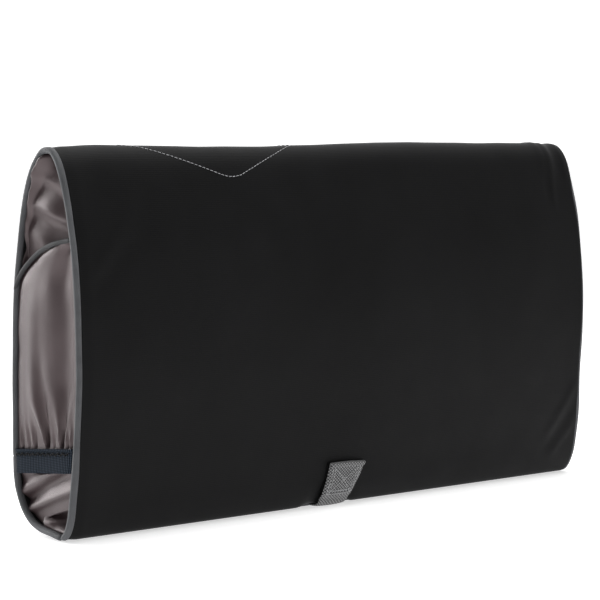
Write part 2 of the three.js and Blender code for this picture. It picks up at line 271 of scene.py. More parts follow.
def lofted(name, rings, material, uv=None, closed_ends=True):
    """Skins rings (count, around, 3); the end rings are filled."""
    rings = np.asarray(rings, float)
    count, around, _ = rings.shape
    faces = quads(count, around, wrap=True)
    if closed_ends:
        faces.append(list(range(around))[::-1])
        faces.append([(count - 1) * around + k for k in range(around)])
    return outward(new_piece(name, rings.reshape(-1, 3), faces, material, uv))


def roll(name, line, radius_a, radius_b, side, material, around=18):
    """A soft tube along a 3-D line, pressed flat on the floor. side is the direction of radius_a."""
    line = np.asarray(line, float)
    along = unit(np.gradient(line, axis=0))
    side = np.broadcast_to(np.asarray(side, float), line.shape)
    a = unit(side - along * (side * along).sum(1)[:, None])
    b = np.cross(along, a)
    count = len(line)
    from_end = np.minimum(np.arange(count), np.arange(count)[::-1])
    close = np.sqrt(1 - (1 - np.clip(from_end / 2.5, 0.06, 1)) ** 2)
    turn = np.arange(around) * TAU / around
    ra = np.broadcast_to(radius_a, count) * close
    rb = np.broadcast_to(radius_b, count) * close
    rings = (line[:, None] + a[:, None] * (ra[:, None] * np.cos(turn))[..., None]
             + b[:, None] * (rb[:, None] * np.sin(turn))[..., None])
    rings[..., 2] = np.maximum(rings[..., 2], FLOOR_CLEAR)
    length = arc_length(line)
    uv = np.stack(np.meshgrid(length / 10, turn * 0.2, indexing="ij"), -1).reshape(-1, 2)
    return lofted(name, rings, material, uv)


def belongs(piece, body, slot, *nodes):
    """Attaches a piece to its body and hides the CAD nodes it stands for; slot is not used."""
    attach(piece, body)
    if nodes:
        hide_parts(*nodes)


def wobble(points, scale, seed):
    """Smooth noise between about -1 and 1 at each point, features about scale millimetres across."""
    offset = Vector((seed * 7.3, seed * 3.1, seed * 5.7))
    flat = np.asarray(points, float).reshape(-1, 3)
    values = [noise.noise(Vector(p / scale) + offset) for p in flat]
    return np.array(values).reshape(np.asarray(points).shape[:-1]) * 2


# ---------------- materials
def fill(node, **inputs):
    """Sets a node's inputs; an underscore in a name stands for a space."""
    for key, value in inputs.items():
        node.inputs[key.replace("_", " ")].default_value = value


class Shader:
    """A principled material and the few nodes it is built from."""

    def __init__(self, name, color, roughness, **inputs):
        self.material = bpy.data.materials.new(name)
        self.material.use_nodes = True
        self.tree = self.material.node_tree
        self.base = self.tree.nodes["Principled BSDF"]
        fill(self.base, Base_Color=(*color, 1), Roughness=roughness, **inputs)

    def node(self, kind, **settings):
        made = self.tree.nodes.new(kind)
        for key, value in settings.items():
            setattr(made, key, value)
        return made

    def link(self, source, target):
        self.tree.links.new(source, target)

    def mapped(self, source, **inputs):
        mapping = self.node("ShaderNodeMapping")
        fill(mapping, **inputs)
        self.link(source, mapping.inputs["Vector"])
        return mapping.outputs["Vector"]

    def place(self, scale):
        source = self.node("ShaderNodeTexCoord")
        return self.mapped(source.outputs["Object"], Scale=(scale,) * 3)

    def wave(self, per_cm, direction, distortion=0.0, turn=0.0):
        """Threads or ribs over the cloth's own coordinates."""
        source = self.node("ShaderNodeUVMap", uv_map="UVMap")
        made = self.node("ShaderNodeTexWave", bands_direction=direction)
        fill(made, Scale=per_cm * WAVE_SCALE, Distortion=distortion, Detail=1)
        self.link(self.mapped(source.outputs["UV"], Rotation=(0, 0, turn)), made.inputs["Vector"])
        return made.outputs["Fac"]

    def noise(self, scale, detail, roughness=0.5):
        """Noise over the object's place in space."""
        made = self.node("ShaderNodeTexNoise")
        fill(made, Scale=1, Detail=detail, Roughness=roughness)
        self.link(self.place(scale), made.inputs["Vector"])
        return made.outputs["Fac"]

    def mixed(self, a, b, share):
        """A weighted sum in which share is the weight of a."""
        return self.maths("ADD", self.maths("MULTIPLY", a, share), self.maths("MULTIPLY", b, 1 - share))

    def maths(self, operation, a, b):
        made = self.node("ShaderNodeMath", operation=operation)
        for value, socket in ((a, made.inputs[0]), (b, made.inputs[1])):
            if isinstance(value, (int, float)):
                socket.default_value = value
            else:
                self.link(value, socket)
        return made.outputs[0]

    def ramp(self, factor, low, high, start=0.3, end=0.7):
        made = self.node("ShaderNodeValToRGB")
        made.color_ramp.elements[0].position = start
        made.color_ramp.elements[1].position = end
        made.color_ramp.elements[0].color = (*low, 1)
        made.color_ramp.elements[1].color = (*high, 1)
        self.link(factor, made.inputs["Fac"])
        return made.outputs["Color"]

    def color(self, source):
        self.link(source, self.base.inputs["Base Color"])

    def rough(self, factor, low, high):
        made = self.node("ShaderNodeMapRange")
        made.inputs["To Min"].default_value = low
        made.inputs["To Max"].default_value = high
        self.link(factor, made.inputs["Value"])
        self.link(made.outputs["Result"], self.base.inputs["Roughness"])

    def bump(self, height, depth_mm, below=None):
        made = self.node("ShaderNodeBump")
        made.inputs["Distance"].default_value = depth_mm * MM
        made.inputs["Strength"].default_value = 1
        self.link(height, made.inputs["Height"])
        if below is not None:
            self.link(below, made.inputs["Normal"])
        self.link(made.outputs["Normal"], self.base.inputs["Normal"])
        return made.outputs["Normal"]


def black_fabric():
    """Rib-weave polyester: fine ribs along the bag, crossed by a finer thread."""
    s = Shader("rib_weave_black", (0.004, 0.004, 0.0042), 0.6, Specular_IOR_Level=0.13,
               Sheen_Weight=0.14, Sheen_Roughness=0.28, Sheen_Tint=(0.95, 0.96, 1, 1))
    ribs = s.wave(8, "Y", 0.35)
    threads = s.wave(17, "X", 0.4)
    cloud = s.noise(9, 4)
    patch = s.noise(38, 3)
    s.color(s.ramp(s.mixed(cloud, patch, 0.7), (0.0034, 0.0034, 0.0036), (0.0056, 0.0056, 0.006), 0.35, 0.65))
    s.rough(patch, 0.54, 0.7)
    soft = s.bump(patch, 0.25)
    s.bump(s.mixed(ribs, threads, 0.75), 0.04, soft)
    return s.material


def grey_binding(name="grosgrain_binding", tone=1.0):
    """Grosgrain tape rolled over the raw edge, ribbed across its length."""
    s = Shader(name, (0.085, 0.087, 0.092), 0.6, Sheen_Weight=0.08 * tone, Specular_IOR_Level=0.3)
    ribs = s.wave(13, "X", 0.3)
    cloud = s.noise(60, 3)
    low = tuple(tone * c for c in (0.072, 0.074, 0.079))
    high = tuple(tone * c for c in (0.108, 0.111, 0.118))
    s.color(s.ramp(cloud, low, high, 0.3, 0.7))
    s.bump(ribs, 0.1)
    return s.material


def satin():
    """Mauve-brown satin: glossy, with a fine warp and faint creases."""
    s = Shader("taupe_satin", (0.05, 0.032, 0.034), 0.36, Specular_IOR_Level=0.8,
               Specular_Tint=(1, 0.86, 0.87, 1))
    cloud = s.noise(30, 4)
    s.color(s.ramp(cloud, (0.03, 0.0195, 0.0205), (0.043, 0.0285, 0.0305), 0.3, 0.7))
    s.rough(cloud, 0.33, 0.42)
    creases = s.noise(120, 3, 0.55)
    fine = s.wave(26, "X", 0.5)
    s.bump(fine, 0.03, s.bump(creases, 0.12))
    return s.material


def elastic():
    """Ribbed navy elastic."""
    s = Shader("ribbed_elastic", (0.01, 0.014, 0.02), 0.8, Specular_IOR_Level=0.06)
    ribs = s.wave(3.4, "X", 0.3)
    rows = s.wave(6.5, "Y", 0.3)
    weave = s.maths("MULTIPLY", ribs, s.maths("ADD", s.maths("MULTIPLY", rows, 0.45), 0.55))
    s.color(s.ramp(weave, (0.004, 0.006, 0.01), (0.04, 0.052, 0.07), 0.1, 0.85))
    s.bump(weave, 0.35)
    return s.material


def webbing():
    """Coarse grey webbing in a basket weave."""
    s = Shader("grey_webbing", (0.14, 0.14, 0.145), 0.75, Sheen_Weight=0.2, Specular_IOR_Level=0.3)
    rows = s.wave(5.0, "Y", 0.6)
    cords = s.wave(4.0, "X", 0.6)
    over = s.maths("MULTIPLY", rows, cords)
    under = s.maths("MULTIPLY", s.maths("SUBTRACT", 1.0, rows), s.maths("SUBTRACT", 1.0, cords))
    weave = s.maths("ADD", over, under)
    grit = s.noise(800, 2)
    mixed = s.mixed(weave, grit, 0.8)
    s.color(s.ramp(mixed, (0.025, 0.025, 0.026), (0.35, 0.35, 0.355), 0.3, 0.8))
    s.bump(mixed, 0.6)
    return s.material


def thread(name, color):
    """Twisted sewing thread."""
    s = Shader(name, color, 0.55, Sheen_Weight=0.2)
    twist = s.noise(1500, 2)
    s.color(s.ramp(twist, tuple(c * 0.75 for c in color), color, 0.35, 0.65))
    s.bump(twist, 0.08)
    return s.material


def pile():
    """Hook-and-loop pile."""
    s = Shader("hook_and_loop", (0.006, 0.006, 0.006), 0.95, Specular_IOR_Level=0.1)
    tuft = s.noise(1100, 4, 0.7)
    s.color(s.ramp(tuft, (0.002, 0.002, 0.002), (0.014, 0.014, 0.015), 0.4, 0.7))
    s.bump(tuft, 0.8)
    return s.material


def blackout():
    """Rubber-coated opaque cloth: dull, faintly crinkled."""
    s = Shader("rubberised_cloth", (0.008, 0.008, 0.009), 0.5, Specular_IOR_Level=0.4)
    crinkle = s.noise(70, 5, 0.6)
    s.rough(crinkle, 0.4, 0.62)
    weave = s.wave(14, "Y", 0.4)
    s.bump(weave, 0.05, s.bump(crinkle, 0.7))
    return s.material


def tape():
    """Herringbone zip tape."""
    s = Shader("zip_tape", (0.012, 0.012, 0.013), 0.75, Sheen_Weight=0.15)
    herring = s.maths("MULTIPLY", s.wave(12, "X", turn=0.7), s.wave(12, "X", turn=-0.7))
    s.color(s.ramp(herring, (0.008, 0.008, 0.009), (0.02, 0.02, 0.022), 0.2, 0.8))
    s.bump(herring, 0.15)
    return s.material


def moulded(name, color, roughness, metallic=0.0):
    """Moulded or cast trim with a slight mottle."""
    s = Shader(name, color, roughness, Metallic=metallic)
    mottle = s.noise(420, 3)
    s.rough(mottle, roughness - 0.08, roughness + 0.12)
    s.bump(mottle, 0.04)
    return s.material


FABRIC = black_fabric()
BINDING = grey_binding()
PIPED = grey_binding("piping_tape", 0.4)
SATIN = satin()
ELASTIC = elastic()
WEBBING = webbing()
PILE = pile()
BLACKOUT = blackout()
TAPE = tape()
TEETH = moulded("zip_teeth", (0.02, 0.02, 0.022), 0.4)
ZIP_METAL = moulded("blackened_zinc", (0.09, 0.09, 0.095), 0.32, 0.9)
PALE_THREAD = thread("pale_thread", (0.5, 0.5, 0.52))
GREY_THREAD = thread("grey_thread", (0.5, 0.5, 0.51))
NAVY_THREAD = moulded("navy_thread", (0.001, 0.001, 0.002), 0.95)


# ---------------- padded shell and flap
def end_sink(x):
    """How far the outer face sinks as it nears each end. The right end rolls in further."""
    left = np.clip((x + HALF - 3) / 9, 0, 1)
    right = np.clip((HALF - 0.2 - x) / 4, 0, 1)
    rolled = 2.6 * (1 - np.sqrt(np.clip(1 - (1 - right) ** 2, 0, 1)))
    return 0.8 * (1 - unit_step(left)) + rolled


def wall_thickness(x):
    """The padding thins towards each end."""
    from_end = np.minimum(x + HALF, HALF - x)
    return WALL - 2.6 * (1 - unit_step((from_end - 2) / 15))


def crease(x, z, start, end, width):
    """A soft line from start to end on the front panel, as a height between 0 and 1."""
    (x0, z0), (x1, z1) = start, end
    along = np.hypot(x1 - x0, z1 - z0)
    t = ((x - x0) * (x1 - x0) + (z - z0) * (z1 - z0)) / along**2
    off = np.abs((x - x0) * (z1 - z0) - (z - z0) * (x1 - x0)) / along
    ends = unit_step((t + 0.15) / 0.3) * unit_step((1.15 - t) / 0.3)
    return np.exp(-((off / width) ** 2)) * ends


# Soft lines on the front panel: start and end as (x, z), height and half width.
CREASES = [
    ((221, 66), (192, 30), 0.5, 3.6), ((222, 40), (200, 16), 0.4, 3.4), ((222, 52), (190, 18), -0.4, 4.2),
    ((-212, 165), (-176, 205), 0.4, 5.0), ((-216, 150), (-170, 190), -0.35, 6.0),
    ((203, 245), (197, 200), -0.4, 1.8), ((208, 245), (203, 196), 0.25, 2.4),
]
# Ripples along the ridge near the right end: x, half width and height.
RIDGE_RIPPLES = [(200, 4, 0.5), (213, 4, -0.5), (220.5, 2.5, 0.4)]


def panel_lift(x, line, on_front):
    """Outward displacement of the padded fabric, on a grid of (line points, x)."""
    z = line[:, 1][:, None] + 0 * x[None]
    y = line[:, 0][:, None] + 0 * x[None]
    xx = x[None] + 0 * z
    points = np.stack([xx, y, z], -1)
    inner = unit_step((xx + HALF) / 30) * unit_step((HALF - xx) / 25)
    settled = unit_step((z - 1.5) / 12)
    lift = (0.5 * wobble(points, 95, 1) + 0.14 * wobble(points, 28, 2)) * (0.3 + 0.7 * inner) * settled
    lift -= end_sink(xx)
    on_ridge = unit_step((z - 205) / 32)
    fuller = 0.3 + 2.6 * unit_step((xx + 60) / 150) - 0.9 * unit_step((xx - 200) / 24)
    lift += on_ridge * sum(height * bump(xx, at, width) for at, width, height in RIDGE_RIPPLES)
    uneven = 0.25 * wobble(points * (1, 0, 0), 42, 3) * inner
    lift += on_ridge * (fuller * unit_step((xx + 222) / 30) + uneven)
    if on_front:
        for start, end, height, width in CREASES:
            lift += height * crease(xx, z, start, end, width)
    return lift


def rounded_edge(along, radius, ends):
    """How far both faces close in towards a panel's hem. ends says which ends of the path have one."""
    start = along if ends[0] else along + 99
    stop = along[-1] - along if ends[1] else along + 99
    t = 1 - np.clip(np.minimum(start, stop) / radius, 0, 1)
    return radius * (1 - np.sqrt(1 - t**2 * 0.995))


def end_pull(z):
    """How far the right end draws in towards its foot."""
    return 2.2 * bump(z, 84, 30) + 1.2 * unit_step((24 - z) / 24)


def panel_grids(line, x, lift, pinch, ends, inset=0.0):
    """A padded panel's outer and inner face, and its texture coordinates."""
    normal = inward(line)
    close = rounded_edge(arc_length(line), WALL / 2, ends)[:, None] + inset
    outer_depth = -lift + close
    inner_depth = wall_thickness(x)[None] + 0 * lift + np.maximum(end_sink(x)[None] * 0.85, 0) - close
    grids = []
    pulled = x[None] - end_pull(line[:, 1])[:, None] * unit_step((x[None] - 190) / 36)
    for depth in (outer_depth, inner_depth):
        grid = offset_grid(pulled, line, normal, depth)
        grid[..., 2] += pinch
        grids.append(grid)
    return *grids, cloth_uv(x[None], line)


def columns():
    """X positions, closer together where the ends roll in."""
    middle = np.linspace(-HALF + 20, HALF - 26, 130)
    left = np.linspace(-HALF + 3.6, -HALF + 20, 12, endpoint=False)
    right = HALF - 0.7 - 25.3 * np.linspace(0.96, 0, 26) ** 1.6
    return np.r_[left, middle, right]


def tab_pinch(x, z):
    """The hem is drawn up where the tab wraps it."""
    near = unit_step((26 - z) / 24)
    drawn = 2.0 * unit_step((x + 38) / 9) * unit_step((12 - x) / 9)
    return near * drawn


def shell_panel():
    """Front panel, ridge and back panel in one padded piece."""
    line = resampled(body_line, 230)
    x = columns()
    lift = panel_lift(x, line, False)
    front = np.arange(len(line)) < np.argmax(line[:, 1])
    lift[front] = panel_lift(x, line[front], True)
    on_front = front[:, None] & (line[:, 1] < 40)[:, None]
    pinch = np.where(on_front, tab_pinch(x[None], line[:, 1][:, None]), 0)
    outer, inner, uv = panel_grids(line, x, lift, pinch, (True, False))
    piece = slab("shell_panel", outer, inner, FABRIC, uv)
    belongs(piece, "bag", "black_fabric", "shell_outer", "shell_foam", "shell_lining")
    return outer, line


def flap_panel():
    """The padded flap: it follows the shell above the fold and bends at it."""
    start = np.searchsorted(arc_length(shell_line), arc_length(body_line)[-1] - 3)
    line = resampled(np.vstack([shell_line[start:], flap_line[1:]]), 84)
    x = columns()
    lift = panel_lift(x, line, False)
    outer, inner, uv = panel_grids(line, x, lift, 0, (False, True), 0.06)
    left_corner = 0.8 * unit_step((-x - HALF + 34) / 30)[None] * unit_step((6 - outer[..., 2]) / 6)
    outer[..., 2] += left_corner
    inner[..., 2] += left_corner
    piece = slab("flap_panel", outer, inner, FABRIC, uv)
    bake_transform(piece)
    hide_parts("flap_outer", "flap_foam", "flap_lining")


def roll_line(line, side):
    """Centre line of the rolled binding at an end."""
    depth = ROLL_DEPTH + 0.25 * wobble(np.c_[line[:, 0] * 0, line], 32, 8 + side)
    yz = line + inward(line) * depth[:, None]
    x = side * (HALF - 2.3) - (end_pull(yz[:, 1]) if side > 0 else 0)
    return np.c_[x + 0 * yz[:, 0], yz]


def plumpness(z):
    """The binding is plumper round the foot than up the sides."""
    return 1 + 0.16 * unit_step((70 - z) / 30) + 0.12 * unit_step((z - 205) / 25)


def bindings():
    """Rolled binding round both ends of the shell and the flap, and along the flap's hem."""
    start = np.searchsorted(arc_length(shell_line), arc_length(body_line)[-1] - 5)
    overlap = np.vstack([shell_line[start:], flap_line[1:], [(-15.5, 0.1)]])
    for word, side in SIDES:
        centre = roll_line(resampled(body_line, 260), side)
        plump = plumpness(centre[:, 2])
        piece = roll(f"{word}_rolled_binding", centre, ROLL[0] * plump, ROLL[1] * plump, (1, 0, 0), BINDING)
        belongs(piece, "bag", "binding", f"{word}_shell_binding")
        centre = roll_line(resampled(overlap, 80), side)
        centre[:, 2] += 0.8 * unit_step((8 - centre[:, 2]) / 6) * unit_step((centre[:, 1] + 14) / 12)
        plump = plumpness(centre[:, 2]) * 0.98
        name = f"{word}_flap_rolled_binding"
        piece = roll(name, centre, ROLL[0] * plump, ROLL[1] * plump, (1, 0, 0), BINDING)
        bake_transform(piece)
        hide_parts(f"{word}_flap_binding")
    x = np.linspace(-HALF + 3.5, HALF - 3.5, 200)
    centre = np.c_[x, np.full(200, FLAP_OUTLINE[-1][0] - 0.1), np.full(200, WALL / 2)]
    piece = roll("flap_hem_roll", centre, 1.9, WALL / 2, (0, 1, 0), BINDING)
    belongs(piece, "flap", "binding", "flap_hem_binding")


# ---------------- stitching
def stitches(name, line, normal, material, body, slot, long=2.6, gap=0.9, thick=0.28, sunk=0.25):
    """Separate thread stitches along a 3-D line, each one arched over the cloth."""
    fine = resampled(line, max(2, int(arc_length(np.asarray(line))[-1] / THREAD_STEP)))
    side = np.broadcast_to(normal, np.asarray(line).shape)
    at = np.linspace(0, 1, len(fine))
    grid = np.linspace(0, 1, len(side))
    fine_normal = np.stack([np.interp(at, grid, side[:, k]) for k in range(3)], 1)
    rings, around = 7, 6
    t = np.linspace(0, 1, rings)
    turn = np.arange(around) * TAU / around
    points, faces = [], []
    start = 0
    while start + int(long / THREAD_STEP) < len(fine):
        stop = start + int(long / THREAD_STEP)
        pick = (start + t * (stop - start)).astype(int)
        arch = (np.sin(t * math.pi) ** 0.5 * (thick + sunk) - sunk)[:, None]
        centre = fine[pick] + fine_normal[pick] * arch
        along = unit(np.gradient(centre, axis=0))
        across = unit(np.cross(along, fine_normal[pick]))
        up = np.cross(across, along)
        radius = thick * np.sqrt(1 - (2 * t - 1) ** 6 * 0.9)[:, None, None]
        round_turn = across[:, None] * np.cos(turn)[:, None] + up[:, None] * np.sin(turn)[:, None]
        base = len(points) * rings * around
        last = base + (rings - 1) * around
        points.append((centre[:, None] + radius * round_turn).reshape(-1, 3))
        faces += quads(rings, around, start=base, wrap=True)
        faces += [[base + k for k in range(around)][::-1], [last + k for k in range(around)]]
        start = stop + int(gap / THREAD_STEP)
    piece = outward(new_piece(name, np.vstack(points), faces, material))
    belongs(piece, body, slot)


def on_shell(outer, line, x, along_ridge):
    """Point and outward normal on the finished outer face, along_ridge being negative on the front."""
    along = arc_length(line)
    top = along[np.argmax(line[:, 1])]
    xs = outer[0, :, 0]
    row = np.interp(top + along_ridge, along, np.arange(len(along)))
    i = int(np.clip(row, 0, len(along) - 2))
    j = int(np.clip(np.searchsorted(xs, x) - 1, 0, len(xs) - 2))
    u, v = row - i, (x - xs[j]) / (xs[j + 1] - xs[j])
    a, b, c, d = outer[i, j], outer[i, j + 1], outer[i + 1, j], outer[i + 1, j + 1]
    point = (a * (1 - v) + b * v) * (1 - u) + (c * (1 - v) + d * v) * u
    normal = unit(np.cross(b - a, c - a))
    if normal @ np.r_[0, -inward(line)[i]] < 0:
        normal = -normal
    return point, normal


def contrast_stitching(outer, line):
    """The pale V sewn through the ridge of the front panel, and its mirror on the back."""
    left, right, tip = (-174, 0.3), (-29, 0.3), (-95, 28)
    before, after = (-102.5, 25.6), (-87, 25.6)
    t = np.linspace(0, 1, 9)[:, None]
    rounded = (1 - t) ** 2 * before + 2 * t * (1 - t) * tip + t * t * after
    route = resampled(np.vstack([[left], rounded, [right]]), 170)
    for word, sign in (("front", -1), ("back", 1)):
        found = [on_shell(outer, line, x, sign * s) for x, s in route]
        points, normals = map(np.array, zip(*found))
        stitches(f"contrast_stitching_{word}", points, normals, PALE_THREAD, "bag", "binding",
                 gap=0.7, thick=0.21)


# ---------------- end gussets
def fold(y, z, at, slope, height, above, below):
    """A fold whose crest crosses at, a (y, z) point. above and below are the lengths of its sides."""
    d = z - (at[1] + slope * (y - at[0]))
    return height * np.exp(-((d / np.where(d > 0, above, below)) ** 2))


def gusset_depth(y, z):
    """How far the satin end lies outboard of its plane: full at the back, with folds falling to the front."""
    width = np.maximum(back_y(z, 4) - front_y(z, 4), 4)
    u = (y - front_y(z, 4)) / width
    depth = 4.6 * unit_step(u / 0.85) * unit_step((1.02 - u) / 0.1) - 2.2
    to_front = unit_step((16 - y) / 22)
    depth += fold(y, z, (14, 225), 0.36, 2.6, 9, 4.5) * (0.6 + 0.4 * to_front)
    depth += fold(y, z, (22, 207), 0.3, 4.8, 10, 5) * (0.5 + 0.5 * to_front)
    depth += fold(y, z, (24, 190), 0.5, 1.4, 7, 6) * unit_step((u - 0.35) / 0.4)
    depth -= 3.0 * unit_step((8 - y) / 26) * unit_step((214 - z) / 16)
    depth += fold(y, z, (-1, 9.2), -0.33, 2.4, 5, 1.6) + fold(y, z, (16, 17), -0.3, 1.2, 5, 3)
    return depth


def gusset_rings():
    """Y and Z over the gusset, in rings from the squarish arm hole (t 0) out to the rim (t 1)."""
    shell = resampled(np.vstack([shell_line, flap_line])[4:], 300)
    inset = 3.1 + 1.3 * unit_step((40 - shell[:, 1]) / 14)
    rim = shell + inward(shell) * inset[:, None]
    rim = resampled(np.vstack([rim, rim[:1]]), 300)[:-1]
    half, low, high = ARM_HOLE
    centre = np.array([0, (low + high) / 2])
    turn = np.arctan2(rim[:, 1] - centre[1], rim[:, 0] - centre[0])
    across, up = np.cos(turn), np.sin(turn)
    scale = 1 / (np.abs(across / half) ** 4 + np.abs(up * 2 / (high - low)) ** 4) ** 0.25
    hole = centre + np.stack([across, up], 1) * scale[:, None]
    t = np.linspace(0, 1, 80)[:, None, None]
    yz = hole[None] * (1 - t) + rim[None] * t
    return t[..., 0], yz[..., 0], yz[..., 1]


def gussets():
    """The satin ends of the bag, one sheet each with an arm hole."""
    t, y, z = gusset_rings()
    for word, side in SIDES:
        depth = gusset_depth(y, z) * unit_step((1 - t) / 0.05) * unit_step(t / 0.15)
        points = np.stack([y * 0, y, z], -1)
        depth += 0.3 * wobble(points, 16, 11 + side) * unit_step((1 - t) / 0.05)
        depth += 0.9 * wobble(points, 8, 15) * unit_step((t - 0.8) / 0.1) * unit_step((1 - t) / 0.06)
        upper = unit_step((z - 30) / 12)
        foot = unit_step((14 - y) / 10) * unit_step((15 - z) / 8)
        hug = np.maximum(upper * unit_step((y + 10) / 14), foot)
        depth += (HALF - 3.0 - GUSSET_X) * unit_step((t - 0.78) / 0.2) * hug
        x_out = side * (GUSSET_X + 0.8 + depth - 1.0 * unit_step((40 - z) / 20))
        grids = [np.stack([x_out, y, z], -1), np.stack([x_out - side * 0.7, y, z], -1)]
        piece = slab(f"{word}_satin_gusset", *grids, SATIN, grids[0][..., 1:] / 10, ring=True)
        belongs(piece, "bag", "satin", f"{word}_gusset")


# ---------------- arm sleeves
arch_line = curve_through(ARCH, step=0.8)
# Each gather above the elastic: place from the back edge to the front, depth, and how far it runs up.
GATHERS = [
    (0.1, 1.3, 13), (0.22, 0.5, 26), (0.33, 1.2, 11), (0.53, 2.0, 40),
    (0.64, 0.5, 10), (0.78, 1.9, 26), (0.87, 1.0, 9), (0.93, 1.2, 14),
]


def arch_y(z):
    """Where the piped arch crosses height z."""
    return np.interp(z, arch_line[::-1, 1], arch_line[::-1, 0])


def gathers(u, above):
    """Valleys pinched at the elastic and fanning out above it; u runs from the back edge to the front."""
    depth = 0 * u
    for place, strength, reach in GATHERS:
        narrow = 0.016 + 0.05 * unit_step(above / 40)
        centre = place - (0.1 * unit_step(above / 60) if 0.3 < place < 0.6 else 0)
        fade = np.exp(-((above / reach) ** 1.4))
        beside = bump(u, centre - 2 * narrow, narrow * 1.2)
        depth = depth - 1.9 * strength * bump(u, centre, narrow) * fade
        depth = depth + 1.2 * strength * beside * fade * unit_step(above / 5)
    return depth


def low_folds(y, z):
    """Folds in the satin that hangs below the elastic, rising to the front."""
    crests = fold(y, z, (27, 26), -0.46, 3.0, 5, 3.6) + fold(y, z, (19, 16.2), -0.36, 2.6, 4, 2.6)
    return crests - fold(y, z, (10, 28), -0.5, 1.6, 3, 4)


def sleeve_edges(z):
    """Front and back limits of the sleeve at height z."""
    inset = 3.4 + 0.9 * unit_step((42 - z) / 10)
    lo = front_y(z, inset)
    back = back_y(z, inset)
    hi = np.where(z > ARCH[-1][1], np.minimum(back, arch_y(z) - 0.3), back)
    return lo, np.maximum(hi, lo + 0.5)


def sleeve_face(t, y, z):
    """How far the sleeve's outboard face bulges, t from the front edge to the back."""
    below_arch = np.maximum(unit_step((arch_y(z) - y + 1) / 7), unit_step((166 - z) / 26))
    bulge = 4.2 * np.sin(math.pi * t**1.8) * (0.5 + 0.5 * unit_step((176 - z) / 40)) * below_arch
    sunken = 0.35 + 0.65 * unit_step((z - 70) / 40)
    bulge = bulge - 2.6 * bump(t, 0.22, 0.15) * below_arch * sunken + 0.9 * bump(t, 0.05, 0.03)
    above = z - CUFF[1] - CUFF_TILT * y
    neck = unit_step(above / 30)
    pinched = gathers(1 - t, np.maximum(above, 0)) * np.sin(math.pi * t) ** 0.3 * unit_step((above + 1) / 2)
    return bulge * neck + 0.6 * (1 - neck) + pinched


def sleeve_grid(t):
    """Y, Z and outboard X over the sleeve: down to the elastic, then down to a slanting end."""
    z = np.linspace(183, CUFF[1] - 2, 130)[:, None] + 0 * t
    lo, hi = sleeve_edges(z)
    y = lo + (hi - lo) * t
    x = SLEEVE_X - 1.2 * unit_step((z - 172) / 12) + sleeve_face(t, y, z) * np.minimum(1, (hi - lo) / 14)
    upper = np.stack([x, y, z], -1)
    lo, hi = sleeve_edges(CUFF[0])
    y = lo + (hi - lo) * t
    start = CUFF[0] + 3 + CUFF_TILT * y
    share = np.linspace(0, 1, 46)[:, None]
    z = start - share * (start - (14.4 - 0.23 * y))
    lo, hi = sleeve_edges(z)
    y = lo + (hi - lo) * t
    x = SLEEVE_HANG_X - 1.4 * unit_step(share / 0.3) + 0.5 * np.sin(math.pi * t)
    x = x + low_folds(y, z) * unit_step(share / 0.15)
    return np.vstack([upper, np.stack([x, y, z], -1)])


def sleeves():
    """Each gathered sleeve as one flattened tube, with its elastic and the piping over its root."""
    t = np.linspace(0, 1, 170)[None]
    edge = rounded_ends(t, 11)
    grid = sleeve_grid(t)
    y, z = grid[..., 1], grid[..., 2]
    width = (y.max(1) - y.min(1))[:, None]
    for word, side in SIDES:
        face = grid[..., 0] + 0.3 * wobble(np.stack([z * 0, y, z], -1), 17, 21 + side)
        back = SLEEVE_BACK_X + 1.8 * unit_step((z - 150) / 30) + 1.6 * (1 - edge)
        back = np.minimum(back, face - 1.3)
        wall = np.minimum(0.55, (face - back) * 0.3)
        middle = y.mean(1)[:, None]
        tucked = middle + (y - middle) * (1 - 1.1 / np.maximum(width, 2.5))
        grids = [closed_ring(side, y, z, face, back), closed_ring(side, tucked, z, face - wall, back + wall)]
        piece = slab(f"{word}_satin_sleeve", *grids, SATIN, grids[0][..., 1:] / 10, ring=True)
        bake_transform(piece)
        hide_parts(f"{word}_sleeve", f"{word}_sleeve_root")
        cuff(word, side)
        sleeve_piping(word, side)


def closed_ring(side, y, z, face, back):
    """Turns round the flattened tube: along its face, then home along its back."""
    out = np.stack([side * face, y, z], -1)
    home = np.stack([side * back, y, z], -1)[..., ::-1, :]
    return np.concatenate([out, home[..., 1:-1, :]], -2)


def cuff_ring(z, side, around, proud):
    """One turn of the elastic: it stands proud of the sleeve and tilts down to the back."""
    lo = front_y(z, 3.0) - proud * 0.3
    hi = back_y(z, 2.1) + proud * 0.3
    t = np.linspace(0, 1, around)
    y = lo + (hi - lo) * t
    edge = rounded_ends(t, 20)
    face = CUFF_X + (4.1 + proud + 0.25 * np.sin(TAU * t * 1.5)) * edge
    back = CUFF_X - (3.2 + proud) * edge
    return closed_ring(side, y, z + CUFF_TILT * y, face, back), y, face


